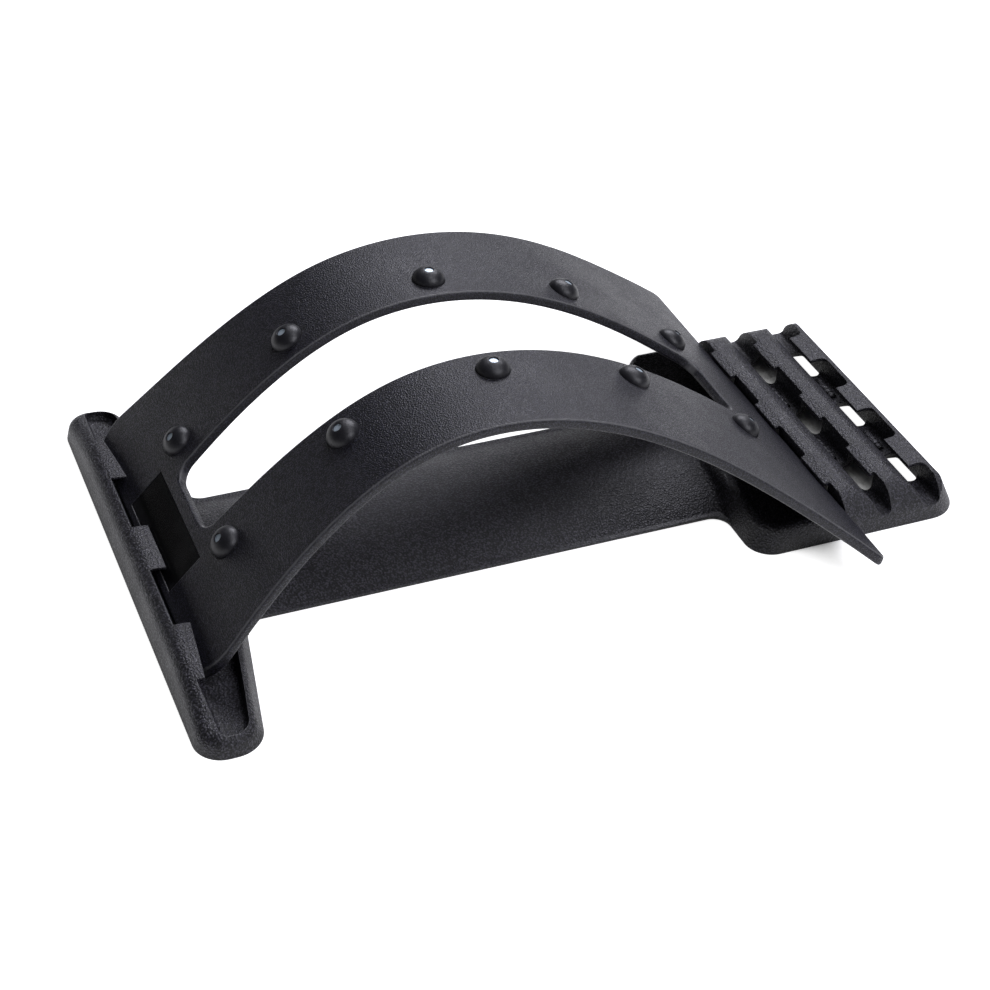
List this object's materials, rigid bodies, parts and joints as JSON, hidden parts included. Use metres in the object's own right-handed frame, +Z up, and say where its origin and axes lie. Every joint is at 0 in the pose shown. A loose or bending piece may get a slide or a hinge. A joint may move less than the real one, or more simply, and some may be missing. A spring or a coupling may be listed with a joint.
{
  "type": "arched back stretcher",
  "caption": "Arched back stretcher: a bent slotted board with massage studs, sprung between a hooked trough and saw-tooth seat rows on a low moulded base.",
  "frame": {"origin": "middle of the footprint of the whole part, on the surface that it stands on", "axes": "+X along the base from the trough to the seat rows, +Y across it, +Z up"},
  "size_m": [0.377, 0.237, 0.1028],
  "materials": {
    "base_plastic": "charcoal moulded plastic with a fine sand grain",
    "board_plastic": "charcoal moulded plastic with a very fine grain and a smooth rim",
    "stud_plastic": "smooth satin black plastic",
    "label_gloss": "bare glossy black plate",
    "magnet_steel": "small bright plated discs"
  },
  "bodies": {
    "base": {"base": "base_plastic"},
    "arch": {"arch_board": "board_plastic", "label_plate": "label_gloss", "stud_1_far": "stud_plastic", "stud_1_near": "stud_plastic", "stud_2_far": "stud_plastic", "stud_2_near": "stud_plastic", "stud_3_far": "stud_plastic", "stud_3_near": "stud_plastic", "stud_4_far": "stud_plastic", "stud_4_near": "stud_plastic", "stud_5_far": "stud_plastic", "stud_5_near": "stud_plastic", "magnet_1_far": "magnet_steel", "magnet_1_near": "magnet_steel", "magnet_2_far": "magnet_steel", "magnet_2_near": "magnet_steel", "magnet_3_far": "magnet_steel", "magnet_3_near": "magnet_steel", "magnet_4_far": "magnet_steel", "magnet_4_near": "magnet_steel", "magnet_5_far": "magnet_steel", "magnet_5_near": "magnet_steel"}
  },
  "joints": [
    {"name": "board_side_shift", "type": "slide", "parent": "base", "child": "arch", "axis": [0, 1, 0], "range_m": [-0.0248, 0.0152]}
  ]
}
